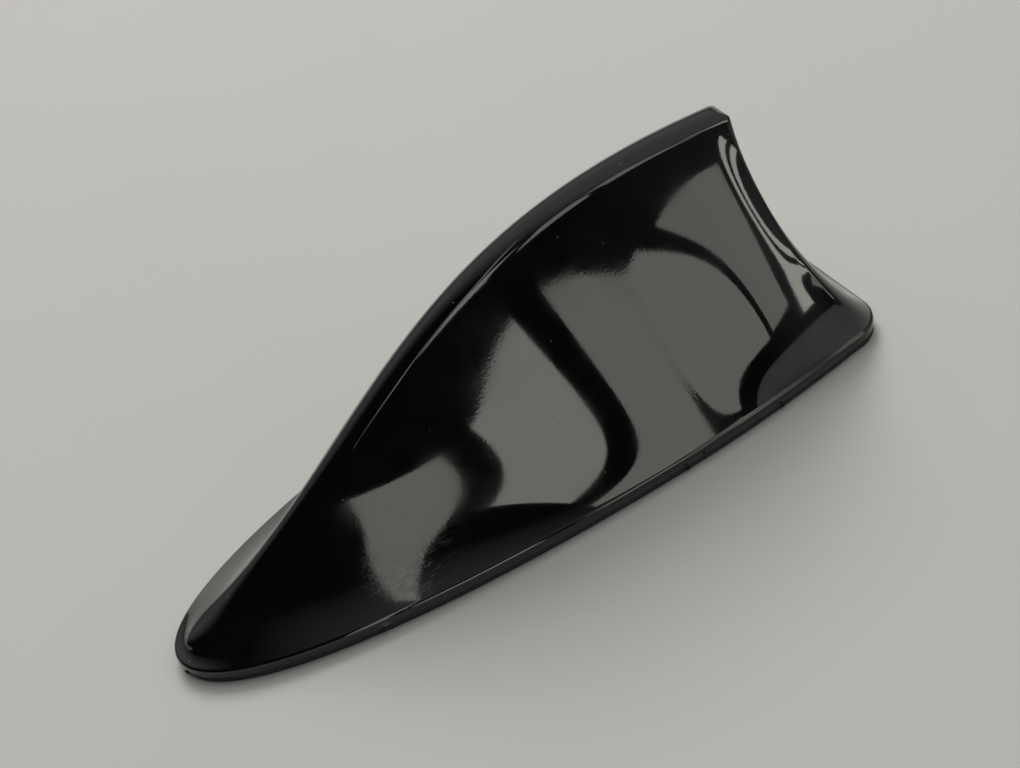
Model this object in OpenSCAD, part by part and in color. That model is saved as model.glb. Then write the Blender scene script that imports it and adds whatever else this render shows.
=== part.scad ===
// Roof antenna of a car in the form of a fin. The fin stands on its rim, nose towards -X.
// The origin is the middle of the rim's box, on the roof plane. Sizes are in millimetres.

/* [Fin outline] */
// Length over the rim
fin_len = 160; // [152:1:168]
// Greatest width over the rim
fin_wid = 60.4; // [57:0.2:66]
// Width across the tail end of the rim
tail_wid = 57; // [53:0.5:57]
// How blunt the nose is in plan
nose_round = 21.7; // [18:0.1:26]
// Distance from the nose to the widest place
widest_at = 120; // [114:1:126]
// Corner radius of the tail in plan
tail_corner_r = 7.5; // [6:0.5:9]

/* [Fin side] */
// Height of the crest edge at the tail tip
tip_h = 52; // [48:0.5:55]
// Distance of the tail tip in front of the tail end of the rim
tip_setback = 13; // [10:0.5:16]
// Reach of the crest curve's handle behind the nose
nose_reach = 58; // [52:1:62]
// Rise of the crest curve's handle behind the nose
nose_rise = 22; // [19:0.5:25]
// Reach of the crest curve's handle in front of the tip
tip_reach = 76; // [70:1:80]
// Rise of the crest curve's handle in front of the tip
tip_rise = 13; // [10:0.5:15]
// Half width of the crest strip at the nose
strip_nose = 2.6; // [2.4:0.1:3]
// Half width of the crest strip at the tip
strip_tip = 3.3; // [3:0.1:3.8]
// Rise of the crest strip's rounded top
strip_crown = 1.2; // [0.8:0.1:1.6]
// Straight share of the side's section at the nose
slope_nose = 0.39; // [0.35:0.01:0.45]
// Straight share of the side's section along the middle
slope_mid = 0.76; // [0.65:0.01:0.8]
// Straight share of the side's section in front of the tail edge
slope_rear = 0.82; // [0.75:0.01:0.9]
// Straight share of the side's section at the tail edge
slope_tail = 0.25; // [0.15:0.01:0.35]
// Hollow share of the side's section at the nose, where a negative share bulges
bow_nose = -0.18; // [-0.25:0.01:-0.1]
// Hollow share of the side's section along the middle
bow_mid = 0.24; // [0.18:0.01:0.3]
// Hollow share of the side's section in front of the tail edge
bow_rear = 0.6; // [0.5:0.01:0.65]
// Power that the rest of the section follows at the nose
flare_nose = 0.85; // [0.75:0.05:1.1]
// Power that the rest of the section follows along the middle
flare_mid = 9; // [7:0.5:10]
// Power that the rest of the section follows in front of the tail edge
flare_rear = 4; // [3.5:0.1:4.5]
// Power that the rest of the section follows at the tail edge
flare_tail = 1.6; // [1.4:0.05:1.9]
// Power of the tail edge's backward sweep
sweep_tail = 3; // [2.6:0.1:3.2]
// Depth of the hollow in the tail face
tail_hollow = 3; // [2:0.5:4]

/* [Rim] */
// Height of the rim's upper edge above the roof
rim_top = 4; // [3.8:0.1:4.4]
// Height of the rubber lip that shows below the painted rim
lip_h = 1.8; // [1.6:0.1:2]
// Thickness of the cover's wall
wall = 2.2; // [1.8:0.1:2.4]
// Inset of the painted rim's rounded edge
rim_edge = 0.5; // [0.3:0.1:0.8]

/* [Base plate] */
// Gap between the cover's inner wall and what it encloses
fit_gap = 0.3; // [0.2:0.05:0.5]
// Height of the base plate's underside above the roof
base_z = 1; // [0.8:0.1:1.2]
// Thickness of the base plate
base_t = 1.4; // [1.2:0.1:1.5]
// Width of the seal's web under the base plate, from the rim
web_w = 4; // [3.6:0.1:4.4]
// Thickness of the stiffening ribs
rib_t = 1.4; // [1:0.1:2]
// Height of the stiffening ribs above the base plate
rib_h = 1.8; // [1.2:0.1:2.4]
// Outer radius of the boss for the roof bolt
boss_r = 7; // [6.5:0.1:8]
// Outer radius of the threaded insert for the roof bolt
insert_r = 4.5; // [4:0.1:5]
// Wall radius of the insert's tapped hole
insert_bore_r = 2.5; // [2:0.1:3]
// Length of the threaded insert
insert_len = 5.2; // [4.5:0.1:5.4]
// Radius of the vent hole near the nose
vent_r = 1.5; // [1:0.1:2]

/* [Fixings] */
// Radius of the cover screws' shanks
cover_screw_r = 1.25; // [1:0.05:1.4]
// Radius of the cover screws' heads
cover_head_r = 2.5; // [2.2:0.1:2.7]
// Length of the cover screws under the head
cover_screw_len = 5.3; // [4.6:0.1:5.6]
// Outer radius of the cover's screw bosses
cover_boss_r = 2.7; // [2.4:0.1:3]
// Radius of the board screws' shanks
board_screw_r = 1; // [0.8:0.05:1.2]
// Radius of the board screws' heads
board_head_r = 2; // [1.8:0.1:2.3]
// Length of the board screws under the head
board_screw_len = 5; // [4:0.1:5.4]
// Outer radius of the posts under the board
post_r = 2.5; // [2.2:0.1:3]

/* [Circuit board] */
// Height of the board's underside above the roof
board_z = 7; // [6.8:0.1:7.2]
// Thickness of the board
board_t = 1.2; // [1:0.1:1.4]
// Distance of the board's sides from the widest part of the rim
board_side = 12.75; // [12:0.25:14]
// Half width of the board's front edge
board_front_half = 9; // [8:0.5:10]
// Length of the board in front of the front patch's centre
board_nose = 17; // [15:0.5:18]
// Distance of the board's rear edge in front of the tail tip
board_back = 5; // [4:0.5:7]
// Height of the shield can
can_h = 3; // [2.4:0.1:3.4]
// Sheet thickness of the can, the radiator and the springs
sheet_t = 0.3; // [0.25:0.05:0.4]

/* [Patches] */
// Place of the rear patch's centre along the fin
rear_patch_x = 10; // [8:0.5:11]
// Gap between the patches
patch_gap = 1.5; // [1:0.1:2]
// Side of the front ceramic patch
front_patch_w = 18; // [16:0.5:18.5]
// Side of the rear ceramic patch
rear_patch_w = 25; // [22:0.5:25.5]
// Thickness of both patches
patch_t = 4; // [3:0.1:4.2]
// Thickness of the adhesive pads under the patches
pad_t = 0.5; // [0.3:0.1:0.8]
// Radius of the feed pins
feed_r = 0.5; // [0.4:0.05:0.7]

/* [Radiator] */
// Distance of the radiator's plastic carrier behind the rear patch
carrier_gap = 5.5; // [4:0.5:8]
// Distance of the carrier's top under the inner crest at the tip
carrier_drop = 2.8; // [2.6:0.1:6]
// Height of the foam strip on the carrier
crest_pad_h = 3.6; // [2:0.1:3.8]
// Thickness of the carrier's blade
carrier_t = 1.6; // [1.2:0.1:1.8]
// Width of the carrier's foot
foot_w = 7; // [5:0.5:8]

/* [Connectors] */
// Distance between neighbouring sockets
socket_pitch = 10; // [9:0.5:11]
// Radius of a socket's opening
socket_r = 3.6; // [3.2:0.1:4]
// Depth of a socket
socket_depth = 5; // [4:0.1:5.4]
// Width of the connector block
block_w = 11; // [10:0.5:13]

/* [Hidden] */
fine = 96;
half_wid = fin_wid / 2;
tail_half = tail_wid / 2;
nose_x = -fin_len / 2;
tail_x = fin_len / 2;
wide_x = nose_x + widest_at;
side_end_x = tail_x - tail_corner_r;
tip_x = tail_x - tip_setback;
crest_back = 2.4;
crest_x = nose_x + crest_back;
crest_lift = 0.9;
side_steps = 26;
corner_steps = 5;
tail_steps = 3;
rise_steps = 12;
crown_steps = 3;
half_steps = side_steps + corner_steps + tail_steps;
loop_steps = 2 * half_steps;
nose_handle = 37;
tail_handle = 11.5;
tail_handle_in = 10.2;
tail_handle_out = 0.95;
strip_end_round = 1;
tongue_len = 7;
crest_cover = 0.9;
nose_flare_len = 111;
rear_flare_len = 36;
edge_flare_len = 17.5;
rise_power = 1.3;
crown_span = 80;
touch = 0.05;
base_top = base_z + base_t;
inner_foot_z = base_top + 0.5;
base_inset = wall + fit_gap;
pad_top = base_top + 1.4;
head_depth = 1.5;
head_sink = 0.1;
pad_r = cover_head_r + 1;
screw_rows = [
    [nose_x + 30, 6.5], [wide_x - 10, half_wid - 9.2], [tail_x - 12.5, tail_half - 12.5]];
screw_places = [for (p = screw_rows) for (m = [1, -1]) [p[0], p[1] * m]];
board_top = board_z + board_t;
front_patch_x = rear_patch_x - (rear_patch_w + front_patch_w) / 2 - patch_gap;
board_half = half_wid - board_side;
board_rear_x = tip_x - board_back;
board_front_x = front_patch_x - board_nose;
board_inset = 3;
board_screw_places = [for (m = [1, -1]) for (p = [
    [board_front_x + board_inset + 1, board_front_half - board_inset],
    [board_rear_x - board_inset, board_half - board_inset]]) [p[0], p[1] * m]];
board_head_t = 1.3;

patch_z = board_top + pad_t;
patch_top = patch_z + patch_t;
feed_off = -1.5;
feed_tail = 1;
carrier_x = rear_patch_x + rear_patch_w / 2 + carrier_gap;
carrier_len = board_rear_x - 1 - carrier_x;
carrier_top = crest_height(tip_x, wall) - carrier_drop;
carrier_h = carrier_top - board_top;
foot_t = 1.2;
peg_r = 1;
block_x = 12;
block_z = 0.4;
socket_count = 3;
block_len = socket_count * socket_pitch + 1;
socket_places = [for (i = [0 : socket_count - 1])
    block_x + block_len / 2 + (i - (socket_count - 1) / 2) * socket_pitch];
shell_r = 1.9;
shell_bore_r = 1.5;
socket_pin_r = 0.5;
can_x = carrier_x + 2;
can_y = 4.6;
can_len = carrier_len - 7;
can_wid = board_half - can_y - 0.9;
lip_in = 0.2;
nose_rib_places = [for (d = [10, 16, 22]) nose_x + d];
cross_rib_places = [[board_front_x - 9, 14], [board_front_x + 12, 18], [tip_x - 15, 22]];
vent_x = board_front_x - 4;
vent_y = 6;
hole_x0 = -10;
hole_x1 = block_x + block_len + 3;
hole_half = 10;
hole_ring_w = 4;
hole_corner_r = 3;
hole_ring_r = 6;
spring_in = 2.4;
spring_w = 2.5;
spring_flat = 2;
spring_knee = 4;
spring_foot = 5;
spring_reach = 6.5;
vent_rim = 2;
pad_front = 8;
pad_rear = 5;
feed_places = [[front_patch_x + feed_off, 0], [rear_patch_x + feed_off, 0]];
peg_places = [[carrier_x + 4, 0], [carrier_x + carrier_len - 4, 0]];
chip_places = [
    [can_x + 2, can_y + 3, 6, 6, 1.2], [can_x + can_len - 9, can_y + 4, 5, 5, 1],
    [can_x + 2, -14, 7, 7, 1.4], [can_x + can_len - 8, -12, 5, 4, 1],
    [can_x + can_len - 8, -17, 4, 3, 0.9], [can_x - 5, -15, 4, 4, 1]];

// Curves
function mix(a, b, t) = a + (b - a) * t;
function ease(t) = let (c = max(0, min(1, t))) c * c * (3 - 2 * c);
function bezier(a, b, c, d, t) =
    pow(1 - t, 3) * a + 3 * pow(1 - t, 2) * t * b + 3 * (1 - t) * t * t * c + pow(t, 3) * d;

// Rim outline in plan: nose, side and tail corner of the half at positive y
function nose_curve(t) = bezier(
    [nose_x, 0], [nose_x, nose_round], [wide_x - nose_handle, half_wid], [wide_x, half_wid], t);
function tail_curve(t) = bezier(
    [wide_x, half_wid], [wide_x + tail_handle, half_wid],
    [side_end_x - tail_handle_in, tail_half + tail_handle_out], [side_end_x, tail_half], t);
nose_steps = 20;
function side_point(i) = i <= nose_steps
    ? nose_curve(i / nose_steps)
    : tail_curve((i - nose_steps) / (side_steps - nose_steps));
function corner_point(i, r, x, y) =
    let (a = 90 * i / corner_steps) [x - r + r * sin(a), y - r + r * cos(a)];
function rim_point(i) = i <= side_steps
    ? side_point(i)
    : i <= side_steps + corner_steps
    ? corner_point(i - side_steps, tail_corner_r, tail_x, tail_half)
    : [tail_x, (tail_half - tail_corner_r) * (half_steps - i) / tail_steps];

// Outline moved inwards by a distance, square to the curve
function rim_normal(i) =
    let (a = rim_point(max(0, i - 1)), b = rim_point(min(half_steps, i + 1)),
         d = i == 0 ? [0, 1] : i == half_steps ? [0, -1] : (b - a) / norm(b - a))
    [-d[1], d[0]];
function inset_point(i, d) = rim_point(i) - d * rim_normal(i);
function outline(d) = [for (i = [0 : loop_steps - 1])
    let (k = i <= half_steps ? i : loop_steps - i, p = inset_point(k, d))
    [p[0], i <= half_steps ? p[1] : -p[1]]];

// Crest curve seen from the side: its height at a place along the fin
function crest_curve(t) = bezier(
    [crest_x, rim_top + crest_lift], [crest_x + nose_reach, rim_top + crest_lift + nose_rise],
    [tip_x - tip_reach, tip_h + tip_rise], [tip_x, tip_h], t);
function crest_t(x, lo = 0, hi = 1, n = 24) = n == 0
    ? (lo + hi) / 2
    : let (m = (lo + hi) / 2)
      crest_curve(m)[0] < x ? crest_t(x, m, hi, n - 1) : crest_t(x, lo, m, n - 1);
function crest_z(x) = crest_curve(crest_t(x))[1];

// Skins of the fin. A skin is a stack of closed loops from the rim to the crest, and w is its depth
// below the painted surface, so that w = wall gives the inner skin.
function strip_end(w) = max(0.3, strip_end_round - w / 3);
function strip_tip_half(w) = max(0.9, strip_tip - w);
function strip_nose_half(w) = max(0.9, strip_nose - w);
function strip_half(x, w) =
    let (a = crest_x + w, b = tip_x - w, t = max(0, min(1, (x - a) / tongue_len)))
    mix(strip_nose_half(w), strip_tip_half(w), (x - a) / (b - a)) * sqrt(1 - pow(1 - t, 2));
function crest_place(k, w) = k <= side_steps
    ? let (a = crest_x + w, b = tip_x - w - strip_end(w),
           x = mix(a, b, (rim_point(k)[0] - nose_x) / (side_end_x - nose_x)))
      [x, strip_half(x, w)]
    : k <= side_steps + corner_steps
    ? corner_point(k - side_steps, strip_end(w), tip_x - w, strip_tip_half(w))
    : [tip_x - w, (strip_tip_half(w) - strip_end(w)) * (half_steps - k) / tail_steps];
function crest_height(x, w) = crest_z(min(x, tip_x)) - w * crest_cover;
function along(k, nose, mid, rear, edge) =
    let (x = rim_point(k)[0],
         a = mix(nose, mid, ease((x - nose_x) / nose_flare_len)),
         b = mix(a, rear, ease((x - side_end_x) / rear_flare_len + 1)))
    mix(b, edge, ease((x - tail_x) / edge_flare_len + 1));
function side_share(k, f) =
    let (a = along(k, slope_nose, slope_mid, slope_rear, slope_tail),
         b = along(k, bow_nose, bow_mid, bow_rear, 0),
         p = along(k, flare_nose, flare_mid, flare_rear, flare_tail))
    a * f + b * f * f + (1 - a - b) * pow(f, p);
function hollow(k, s) = k <= side_steps + corner_steps
    ? 0
    : tail_hollow * 4 * s * (1 - s) * sin(90 * (k - side_steps - corner_steps) / tail_steps);
function skin_point(k, s, w, foot_z) =
    let (r = inset_point(k, rim_edge + w), c = crest_place(k, w), f = 1 - s)
    [mix(c[0], r[0], pow(f, sweep_tail)) - hollow(k, s),
     mix(c[1], r[1], side_share(k, f)),
     mix(foot_z, crest_height(c[0], w), s)];
function crown_point(k, a, w, crown) =
    let (c = crest_place(k, w),
         m = max(crest_x + w + strip_nose_half(w), min(tip_x - w - strip_tip_half(w), c[0])))
    [mix(m, c[0], cos(a)), c[1] * cos(a),
     mix(crest_height(m, w), crest_height(c[0], w), cos(a)) + crown * pow(sin(a), 2)];
function whole(half) = concat(half, [for (k = [half_steps - 1 : -1 : 1])
    [half[k][0], -half[k][1], half[k][2]]]);
function flat_loop(d, z) = whole([for (k = [0 : half_steps])
    let (p = inset_point(k, d)) [p[0], k == half_steps ? 0 : p[1], z]]);
function skin_loops(w, foot_z, crown, steps) = concat(
    [for (j = [0 : steps])
        let (s = pow(j / steps, rise_power))
        whole([for (k = [0 : half_steps]) skin_point(k, s, w, foot_z)])],
    [for (j = [1 : crown_steps])
        whole([for (k = [0 : half_steps]) crown_point(k, crown_span * j / crown_steps, w, crown)])]);
function flatten(a) = [for (b = a) for (c = b) c];
function band(a, b, out) = flatten([for (i = [0 : loop_steps - 1])
    let (j = (i + 1) % loop_steps, p = a + i, q = a + j, r = b + j, s = b + i)
    out ? [[p, q, r], [p, r, s]] : [[p, r, q], [p, s, r]]]);
function lid(a, out) =
    let (n = a + loop_steps,
         f = concat(
             [[a, a + 1, n - 1]],
             flatten([for (i = [1 : side_steps - 1])
                 [[a + i, a + i + 1, n - i - 1], [a + i, n - i - 1, n - i]]]),
             [for (i = [side_steps + 1 : loop_steps - side_steps - 1]) [a + side_steps, a + i, a + i + 1]]))
    [for (t = f) out ? t : [t[0], t[2], t[1]]];
outer_loops = concat(
    [flat_loop(0, lip_h), flat_loop(0, rim_top - rim_edge * 1.4),
     flat_loop(rim_edge * 0.3, rim_top - rim_edge * 0.4)],
    skin_loops(0, rim_top, strip_crown, rise_steps));
inner_loops = concat(
    [flat_loop(wall, lip_h), flat_loop(wall, base_top + 0.1)],
    skin_loops(wall, inner_foot_z, strip_crown / 2, rise_steps));
outer_n = len(outer_loops);
inner_n = len(inner_loops);

module fin_shell() {
    first = outer_n * loop_steps;
    polyhedron(
        points = concat(flatten(outer_loops), flatten(inner_loops)),
        faces = concat(
            flatten([for (j = [0 : outer_n - 2]) band(j * loop_steps, (j + 1) * loop_steps, true)]),
            lid((outer_n - 1) * loop_steps, true),
            flatten([for (j = [0 : inner_n - 2])
                band(first + j * loop_steps, first + (j + 1) * loop_steps, false)]),
            lid(first + (inner_n - 1) * loop_steps, false),
            band(0, first, false)));
}

module at_each(places) {
    for (p = places)
        translate([p[0], p[1], 0])
            children();
}
module slab(d, z, h) {
    translate([0, 0, z])
        linear_extrude(h)
            polygon(outline(d));
}
module round_plate(x0, x1, half, r, z, h) {
    translate([x0 + r, -half, z])
        cube([x1 - x0 - 2 * r, 2 * half, h]);
    translate([x0, r - half, z])
        cube([x1 - x0, 2 * (half - r), h]);
    for (x = [x0 + r, x1 - r])
        for (y = [r - half, half - r])
            translate([x, y, z])
                cylinder(r = r, h = h, $fn = fine);
}

// Painted cover: the shell, its six screw bosses and the ribs behind the nose and the tail face
module fin_solid() {
    polyhedron(
        points = flatten(outer_loops),
        faces = concat(
            flatten([for (j = [0 : outer_n - 2]) band(j * loop_steps, (j + 1) * loop_steps, true)]),
            lid((outer_n - 1) * loop_steps, true),
            [[for (i = [loop_steps - 1 : -1 : 0]) i]]));
}
module cover() {
    pilot_r = cover_screw_r + touch;
    rib_low = base_top + rib_h + fit_gap;
    color("#101114")
        difference() {
            union() {
                fin_shell();
                intersection() {
                    fin_solid();
                    union() {
                        at_each(screw_places)
                            translate([0, 0, pad_top])
                                cylinder(r = cover_boss_r, h = tip_h, $fn = 32);
                        for (x = nose_rib_places)
                            translate([x, -fin_wid / 4, rib_low])
                                cube([rib_t, fin_wid / 2, 3]);
                    }
                }
            }
            at_each(screw_places)
                cylinder(r = pilot_r, h = base_z + head_depth + cover_screw_len + 0.4, $fn = 32);
        }
}

// Rubber seal: the lip that carries the cover's rim, with a web under the edge of the base plate
module roof_seal() {
    color("#2b2824")
        difference() {
            union() {
                slab(lip_in, 0, base_z);
                slab(lip_in, 0, lip_h);
            }
            slab(wall, base_z, lip_h);
            slab(web_w, -1, lip_h + 2);
        }
}

// Die-cast base plate with ribs, the roof bolt's boss, posts for the board and the connector's window
module base_plate() {
    collar_h = 2;
    collar_t = 1.4;
    win_x0 = block_x - fit_gap;
    win_x1 = block_x + block_len + fit_gap;
    win_half = block_w / 2 + fit_gap;
    color("#a9abad")
        difference() {
            union() {
                slab(base_inset, base_z, base_t);
                translate([0, 0, base_z])
                    cylinder(r = boss_r, h = board_z - base_z, $fn = fine);
                at_each(board_screw_places)
                    translate([0, 0, base_z])
                        cylinder(r = post_r, h = board_z - base_z, $fn = fine);
                at_each(screw_places)
                    translate([0, 0, base_z])
                        cylinder(r = pad_r, h = pad_top - base_z, $fn = fine);
                translate([win_x0 - collar_t, -win_half - collar_t, base_z])
                    cube([win_x1 - win_x0 + 2 * collar_t, 2 * (win_half + collar_t), base_t + collar_h]);
                for (x = cross_rib_places)
                    translate([x[0], -x[1], base_z])
                        cube([rib_t, 2 * x[1], base_t + rib_h]);
                translate([nose_x + 18, -rib_t / 2, base_z])
                    cube([-nose_x - 18, rib_t, base_t + rib_h]);
                translate([win_x1, -rib_t / 2, base_z])
                    cube([tail_x - 8 - win_x1, rib_t, base_t + rib_h]);
            }
            translate([win_x0, -win_half, 0])
                cube([win_x1 - win_x0, 2 * win_half, board_z]);
            translate([0, 0, 0])
                cylinder(r = insert_r + touch, h = base_z + insert_len + 0.2, $fn = fine);
            at_each(screw_places) {
                cylinder(r = cover_screw_r + fit_gap, h = board_z, $fn = fine);
                cylinder(r = cover_head_r + fit_gap / 2, h = base_z + head_depth, $fn = fine);
            }
            at_each(board_screw_places)
                translate([0, 0, base_top])
                    cylinder(r = board_screw_r + touch, h = board_z, $fn = fine);
            translate([vent_x, vent_y, 0])
                cylinder(r = vent_r, h = board_z, $fn = fine);
        }
}

// Threaded steel insert in the boss, where the bolt from inside the car goes in
module roof_insert() {
    color("#8f9193")
        translate([0, 0, base_z])
            difference() {
                cylinder(r = insert_r, h = insert_len, $fn = fine);
                translate([0, 0, -1])
                    cylinder(r = insert_bore_r, h = insert_len + 2, $fn = fine);
            }
}

// Foam ring that closes the hole in the roof
module hole_seal() {
    color("#1c1c1c")
        difference() {
            round_plate(hole_x0 - hole_ring_w, hole_x1 + hole_ring_w, hole_half + hole_ring_w, hole_ring_r, 0,
                base_z);
            round_plate(hole_x0, hole_x1, hole_half, hole_corner_r, -1, base_z + 2);
        }
}

// Stamped springs that earth the base plate against the roof sheet
module ground_springs() {
    color("#b9a877")
        for (m = [1, -1])
            translate([hole_x0 + 1, m * (hole_half - spring_in) + spring_w / 2, 0])
                rotate([90, 0, 0])
                    linear_extrude(spring_w)
                        polygon([
                            [0, base_z], [0, base_z - sheet_t], [spring_flat, base_z - sheet_t],
                            [spring_knee, 0.1], [spring_foot, 0.1], [spring_reach, 0.5],
                            [spring_reach - sheet_t, 0.7], [spring_foot, 0.1 + sheet_t],
                            [spring_knee + 0.2, 0.1 + sheet_t], [spring_flat + sheet_t, base_z]]);
}

// Membrane over the vent hole, inside the base plate
module vent_disc() {
    color("#e8e8e4")
        translate([vent_x, vent_y, base_top])
            cylinder(r = vent_r + vent_rim, h = sheet_t, $fn = fine);
}

module cover_screws() {
    color("#8c8e90")
        at_each(screw_places)
            difference() {
                union() {
                    translate([0, 0, base_z + head_sink])
                        cylinder(r = cover_head_r, h = head_depth - head_sink, $fn = fine);
                    translate([0, 0, base_z + head_depth - touch])
                        cylinder(r = cover_screw_r, h = cover_screw_len, $fn = fine);
                }
                translate([0, 0, base_z])
                    cylinder(r = cover_head_r / 2.2, h = head_depth / 2, $fn = 6);
            }
}

// Circuit board with holes for its screws, the feed pins, the carrier's pegs and the sockets' pins
module main_board() {
    y0 = board_front_half;
    y1 = board_half;
    taper = 45;
    color("#1d5a3a")
        difference() {
            translate([0, 0, board_z])
                linear_extrude(board_t)
                    polygon([
                        [board_front_x, -y0 + 2], [board_front_x + 2, -y0], [board_front_x + taper, -y1],
                        [board_rear_x - 3, -y1], [board_rear_x, -y1 + 3], [board_rear_x, y1 - 3],
                        [board_rear_x - 3, y1], [board_front_x + taper, y1], [board_front_x + 2, y0],
                        [board_front_x, y0 - 2]]);
            at_each(board_screw_places)
                cylinder(r = board_screw_r + fit_gap, h = carrier_h, $fn = fine);
            at_each(feed_places)
                cylinder(r = feed_r + touch, h = carrier_h, $fn = fine);
            at_each(peg_places)
                cylinder(r = peg_r + touch, h = carrier_h, $fn = fine);
        }
}

module board_screws() {
    color("#b5b7b9")
        at_each(board_screw_places)
            difference() {
                union() {
                    translate([0, 0, board_top])
                        cylinder(r = board_head_r, h = board_head_t, $fn = fine);
                    translate([0, 0, board_top + touch - board_screw_len])
                        cylinder(r = board_screw_r, h = board_screw_len, $fn = fine);
                }
                translate([0, 0, board_top + board_head_t / 2])
                    cylinder(r = board_head_r / 2.2, h = board_head_t, $fn = 6);
            }
}

// Amplifier and filter chips, two of them under the can
module board_chips() {
    color("#17181a")
        for (c = chip_places)
            translate([c[0], c[1], board_top])
                cube([c[2], c[3], c[4]]);
}

// Shield can, folded from sheet and open underneath
module shield_can() {
    color("#c4c6c8")
        difference() {
            translate([can_x, can_y, board_top])
                cube([can_len, can_wid, can_h]);
            translate([can_x + sheet_t, can_y + sheet_t, board_top - 1])
                cube([can_len - 2 * sheet_t, can_wid - 2 * sheet_t, can_h + 1 - sheet_t]);
            for (i = [1 : 4])
                for (j = [1 : 2])
                    translate([can_x + can_len * i / 5, can_y + can_wid * j / 3, board_top])
                        cylinder(r = 0.8, h = 2 * can_h, $fn = 32);
        }
}

// Ceramic patch with the hole for its feed pin
module patch(w, x) {
    difference() {
        translate([x - w / 2, -w / 2, patch_z])
            cube([w, w, patch_t]);
        translate([x + feed_off, 0, 0])
            cylinder(r = feed_r + touch, h = carrier_h, $fn = fine);
    }
}
module front_patch() {
    color("#c9bfae")
        patch(front_patch_w, front_patch_x);
}
module rear_patch() {
    color("#c9bfae")
        patch(rear_patch_w, rear_patch_x);
}
module patch_pads() {
    color("#e9e4d4")
        for (p = [[front_patch_x, front_patch_w - 3], [rear_patch_x, rear_patch_w - 3]])
            difference() {
                translate([p[0] - p[1] / 2, -p[1] / 2, board_top])
                    cube([p[1], p[1], pad_t]);
                translate([p[0] + feed_off, 0, 0])
                    cylinder(r = feed_r + 1, h = carrier_h, $fn = fine);
            }
}
module feed_pins() {
    color("#d3c58a")
        at_each(feed_places) {
            translate([0, 0, board_z - feed_tail])
                cylinder(r = feed_r, h = patch_top + sheet_t - board_z + feed_tail, $fn = fine);
            translate([0, 0, patch_top])
                cylinder(r = feed_r * 2.4, h = sheet_t, $fn = fine);
        }
}

// Moulded carrier: a blade with three windows on a foot with two pegs
module radiator_carrier() {
    windows = 3;
    frame = 3;
    win = (carrier_len - frame * (windows + 1)) / windows;
    color("#e3e1da") {
        translate([carrier_x, carrier_t / 2, 0])
            rotate([90, 0, 0])
                linear_extrude(carrier_t)
                    difference() {
                        polygon([
                            [0, board_top], [carrier_len, board_top], [carrier_len, carrier_top - 4],
                            [carrier_len - 4, carrier_top], [7, carrier_top], [0, carrier_top - 9]]);
                        for (i = [0 : windows - 1])
                            translate([frame + i * (win + frame), board_top + 24])
                                square([win, 4]);
                    }
        translate([carrier_x, -foot_w / 2, board_top])
            cube([carrier_len, foot_w, foot_t]);
        at_each(peg_places)
            translate([0, 0, board_z + 0.1])
                cylinder(r = peg_r, h = board_t, $fn = fine);
    }
}

// Stamped sheet radiator on the carrier's side, with a slot and a feed leg that ends on the board
module radiator_sheet() {
    low = 6;
    high = carrier_h - 10;
    slot = 1.2;
    leg_w = 3;
    side = carrier_t / 2;
    foot_y = foot_w / 2 + 0.3;
    color("#c9a25a") {
        translate([carrier_x + 2, side + sheet_t, board_top])
            rotate([90, 0, 0])
                linear_extrude(sheet_t)
                    difference() {
                        union() {
                            translate([0, low])
                                square([carrier_len - 4, high - low]);
                            translate([2, foot_t])
                                square([leg_w, low]);
                        }
                        translate([leg_w + 3, low + 4])
                            square([slot, high]);
                        translate([leg_w + 9, low - 1])
                            square([slot, high - low - 4]);
                        translate([leg_w + 15, low + 4])
                            square([slot, high]);
                    }
        translate([carrier_x + 4, side, board_top + foot_t])
            cube([leg_w, foot_y - side + sheet_t, sheet_t]);
        translate([carrier_x + 4, foot_y, board_top])
            cube([leg_w, sheet_t, foot_t + sheet_t]);
    }
}

// Foam strip on the carrier that keeps it from rattling in the crest
module crest_pad() {
    color("#2a2a2c")
        translate([carrier_x + pad_front, -carrier_t / 2, carrier_top])
            cube([carrier_len - pad_front - pad_rear, carrier_t, crest_pad_h]);
}

// Three coaxial sockets in one block, mouths down
module connector_block() {
    key = 0.8;
    color("#5b5f66")
        difference() {
            translate([block_x, -block_w / 2, block_z])
                cube([block_len, block_w, board_z - block_z]);
            for (x = socket_places)
                translate([x, 0, 0]) {
                    difference() {
                        cylinder(r = socket_r, h = block_z + socket_depth, $fn = fine);
                        translate([-key / 2, socket_r - key, 0])
                            cube([key, key, block_z + socket_depth]);
                    }
                    cylinder(r = shell_r + touch, h = board_z + 1, $fn = fine);
                }
        }
}
module connector_shells() {
    color("#c8b06a")
        for (x = socket_places)
            translate([x, 0, block_z + 0.6])
                difference() {
                    cylinder(r = shell_r, h = board_z - block_z - 0.6, $fn = fine);
                    translate([0, 0, -1])
                        cylinder(r = shell_bore_r, h = board_z + 2, $fn = fine);
                }
}
module pin_insulators() {
    color("#f0efe9")
        for (x = socket_places)
            translate([x, 0, block_z + socket_depth - 1])
                difference() {
                    cylinder(r = shell_bore_r - touch, h = board_z - block_z - socket_depth + 1, $fn = fine);
                    translate([0, 0, -1])
                        cylinder(r = socket_pin_r + touch, h = board_z, $fn = fine);
                }
}
module connector_pins() {
    color("#d8b45c")
        for (x = socket_places)
            translate([x, 0, block_z + 1])
                cylinder(r = socket_pin_r, h = board_z - block_z - 1, $fn = fine);
}
cover();
roof_seal();
base_plate();
roof_insert();
hole_seal();
ground_springs();
vent_disc();
cover_screws();
main_board();
board_screws();
board_chips();
shield_can();
front_patch();
rear_patch();
patch_pads();
feed_pins();
radiator_carrier();
radiator_sheet();
crest_pad();
connector_block();
connector_shells();
pin_insulators();
connector_pins();
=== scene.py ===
"""Looks of a car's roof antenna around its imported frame. Lengths are millimetres until a mesh is made, but
metres for the lamps."""
import math
from functools import partial

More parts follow.
